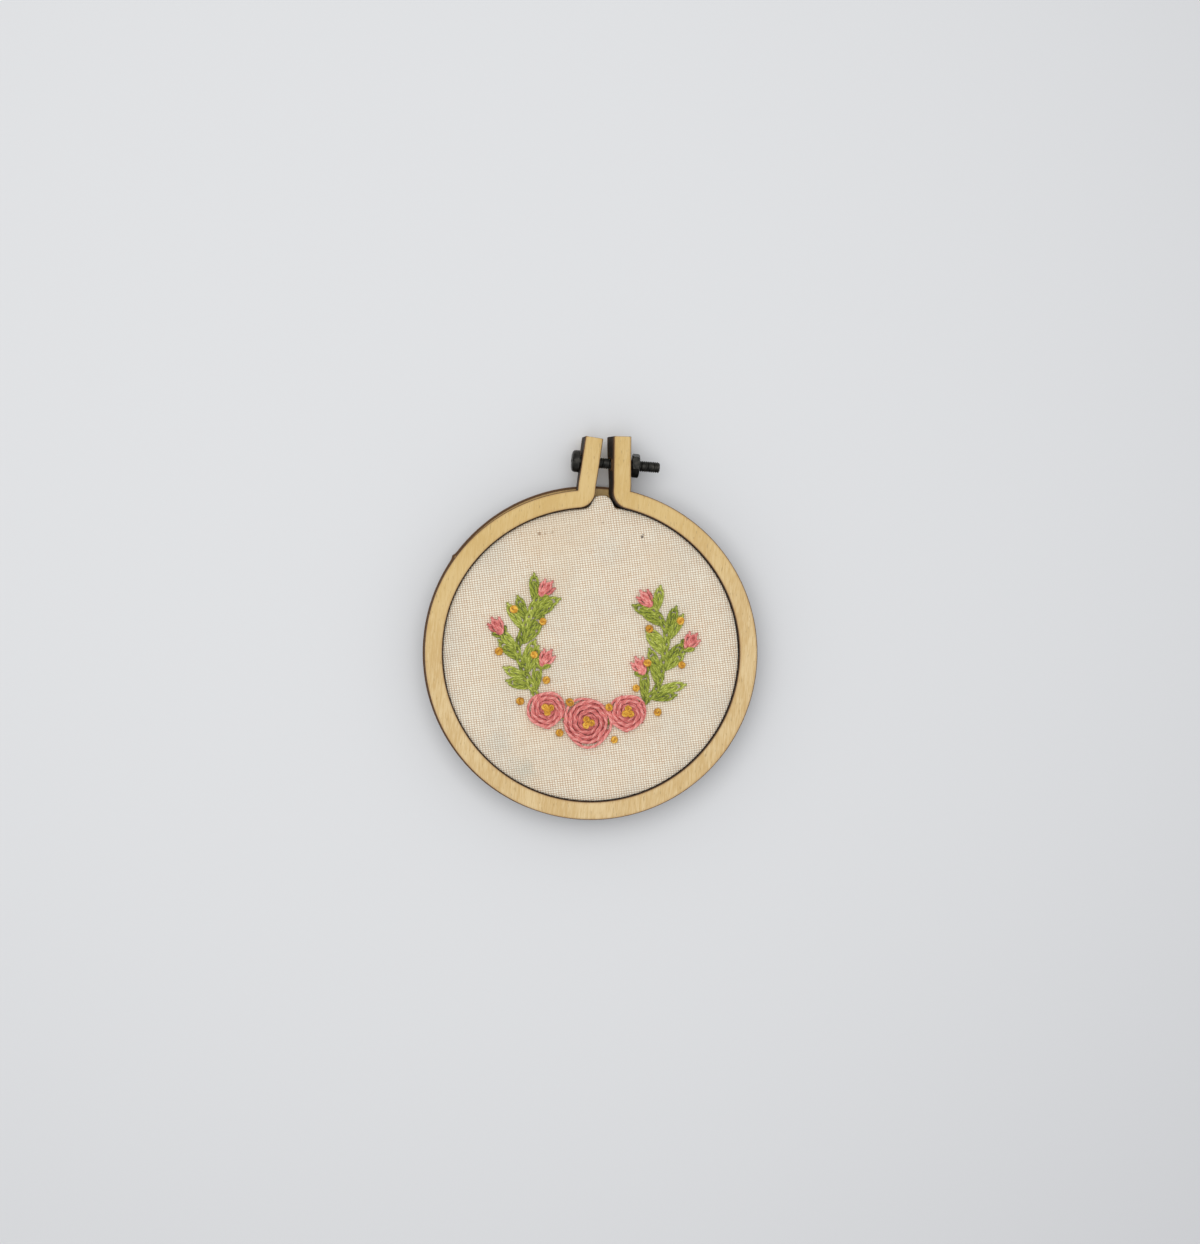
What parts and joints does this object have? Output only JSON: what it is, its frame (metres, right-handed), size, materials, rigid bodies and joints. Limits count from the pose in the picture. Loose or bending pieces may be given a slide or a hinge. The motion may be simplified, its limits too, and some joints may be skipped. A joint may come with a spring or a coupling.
{
  "type": "hoop embroidery art, stitched cloth in a wooden mini hoop",
  "caption": "Small round plywood embroidery hoop with stretched cream cotton, a stitched spray of flowers, and a black bolt and nut that close its two ears.",
  "frame": {"origin": "centre of the hoop, on the underside of the backing disc", "axes": "+Z out of the embroidered face, +Y towards the two ears, +X along the bolt towards the nut"},
  "size_m": [0.062, 0.0714, 0.008],
  "materials": {
    "plywood": "pale bare plywood with burnt laser-cut edges",
    "backing_plywood": "bare plywood with a burnt laser-cut rim",
    "plate_plywood": "bare plywood, hidden under the cloth",
    "cotton": "unbleached plain-weave cotton",
    "black_steel": "satin black oxide on a threaded screw",
    "nut_steel": "satin black oxide",
    "pink_thread": "stranded cotton thread with a soft sheen",
    "yellow_thread": "stranded cotton thread with a soft sheen",
    "green_thread": "stranded cotton thread with a soft sheen"
  },
  "bodies": {
    "root": {"outer_ring": "plywood", "backing_disc": "backing_plywood", "inner_plate": "plate_plywood", "embroidered_cloth": "cotton", "bolt": "black_steel", "nut": "nut_steel"}
  },
  "joints": []
}
